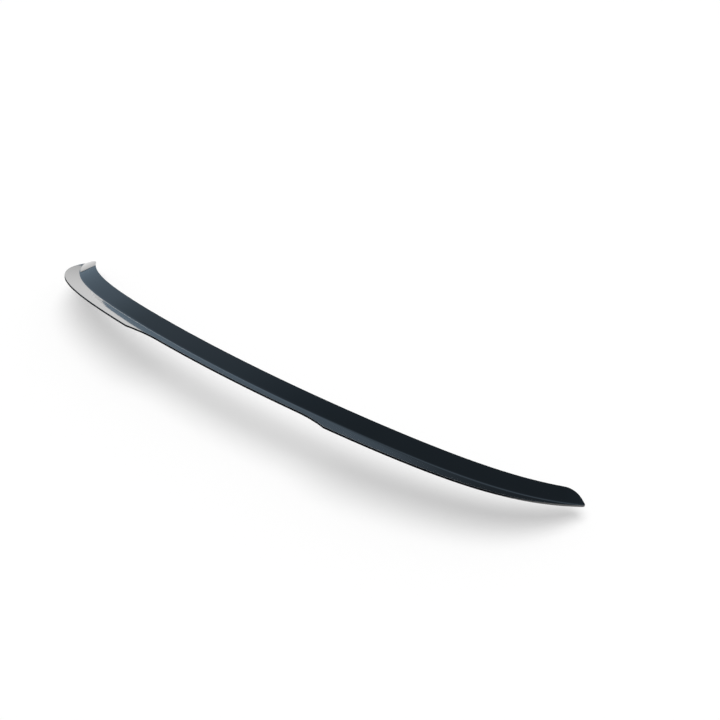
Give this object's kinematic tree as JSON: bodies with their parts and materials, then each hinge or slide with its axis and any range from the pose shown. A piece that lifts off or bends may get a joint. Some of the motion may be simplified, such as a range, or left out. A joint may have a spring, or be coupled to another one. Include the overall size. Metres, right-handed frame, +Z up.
{
  "type": "spoiler extension",
  "caption": "Gloss black add-on spoiler for a boot lid's rear edge: a narrow curved plate with mounting tape beneath and an upturned lip, deep towards the ends and shallow in the middle.",
  "frame": {"origin": "middle of the glue face: mid-span, mid-width of the tape's lower face", "axes": "+X across the car to its right, +Y towards its front, +Z up, square to the plate at mid-span; the lip rises towards -Y"},
  "size_m": [1.159, 0.1941, 0.0894],
  "materials": {
    "gloss_black_abs": "high gloss, moulded black",
    "foam_tape": "matt closed-cell acrylic foam",
    "red_film": "satin release film"
  },
  "bodies": {
    "root": {"spoiler_body": "gloss_black_abs", "mounting_tape": "foam_tape", "release_liner": "red_film"}
  },
  "joints": []
}
